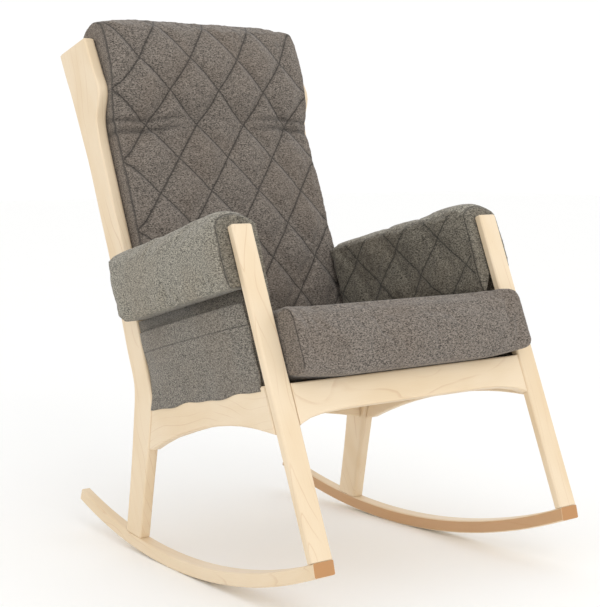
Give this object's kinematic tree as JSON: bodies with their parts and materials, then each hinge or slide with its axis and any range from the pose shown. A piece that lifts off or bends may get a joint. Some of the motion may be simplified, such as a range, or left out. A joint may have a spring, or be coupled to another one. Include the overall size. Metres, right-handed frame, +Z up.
{
  "type": "rocking chair",
  "caption": "High-back rocking chair: pale wood side frames on curved runners, quilted back cushion, box seat cushion, padded arms and a cloth storage pocket under each arm.",
  "frame": {"origin": "middle of the bounding box, on the floor", "axes": "+Z up, the sitter faces -Y, +X is the right side seen from the front"},
  "size_m": [0.7028, 0.9128, 1.0575],
  "materials": {
    "maple": "clear satin on pale maple",
    "maple_inner": "sanded pale maple",
    "cushion_cloth": "heathered warm grey wool-like weave",
    "side_cloth": "heathered warm grey wool-like weave",
    "steel": null
  },
  "bodies": {
    "frame": {"runner_r": "maple", "runner_l": "maple", "front_leg_r": "maple", "front_leg_l": "maple", "rear_post_r": "maple", "rear_post_l": "maple", "side_apron_r": "maple", "side_apron_l": "maple", "arm_rail_r": "maple_inner", "arm_rail_l": "maple_inner", "front_rail": "maple", "rear_rail": "maple", "back_lower_rail": "maple", "back_top_rail": "maple", "back_slat_1": "maple_inner", "back_slat_2": "maple_inner", "back_slat_3": "maple_inner", "back_slat_4": "maple_inner", "back_slat_5": "maple_inner", "seat_cleat_r": "maple_inner", "seat_cleat_l": "maple_inner", "seat_slat_1": "maple_inner", "seat_slat_2": "maple_inner", "seat_slat_3": "maple_inner", "seat_slat_4": "maple_inner", "seat_slat_5": "maple_inner", "front_block_r": "maple_inner", "front_block_l": "maple_inner", "rear_block_r": "maple_inner", "rear_block_l": "maple_inner", "front_bolt_r": "steel", "front_bolt_l": "steel", "rear_bolt_r": "steel", "rear_bolt_l": "steel", "arm_pad_r": "side_cloth", "arm_pad_l": "side_cloth", "side_panel_r": "side_cloth", "side_panel_l": "side_cloth", "pocket_r": "side_cloth", "pocket_l": "side_cloth"},
    "seat": {"seat_cushion": "cushion_cloth"},
    "back": {"back_cushion": "cushion_cloth"}
  },
  "joints": [
    {"name": "seat_cushion_slide", "type": "slide", "parent": "frame", "child": "seat", "axis": [0, -0.9744, 0.225], "range_m": [0, 0.5]},
    {"name": "back_cushion_lift", "type": "slide", "parent": "frame", "child": "back", "axis": [0, 0.3786, 0.9255], "range_m": [0, 0.75]}
  ]
}
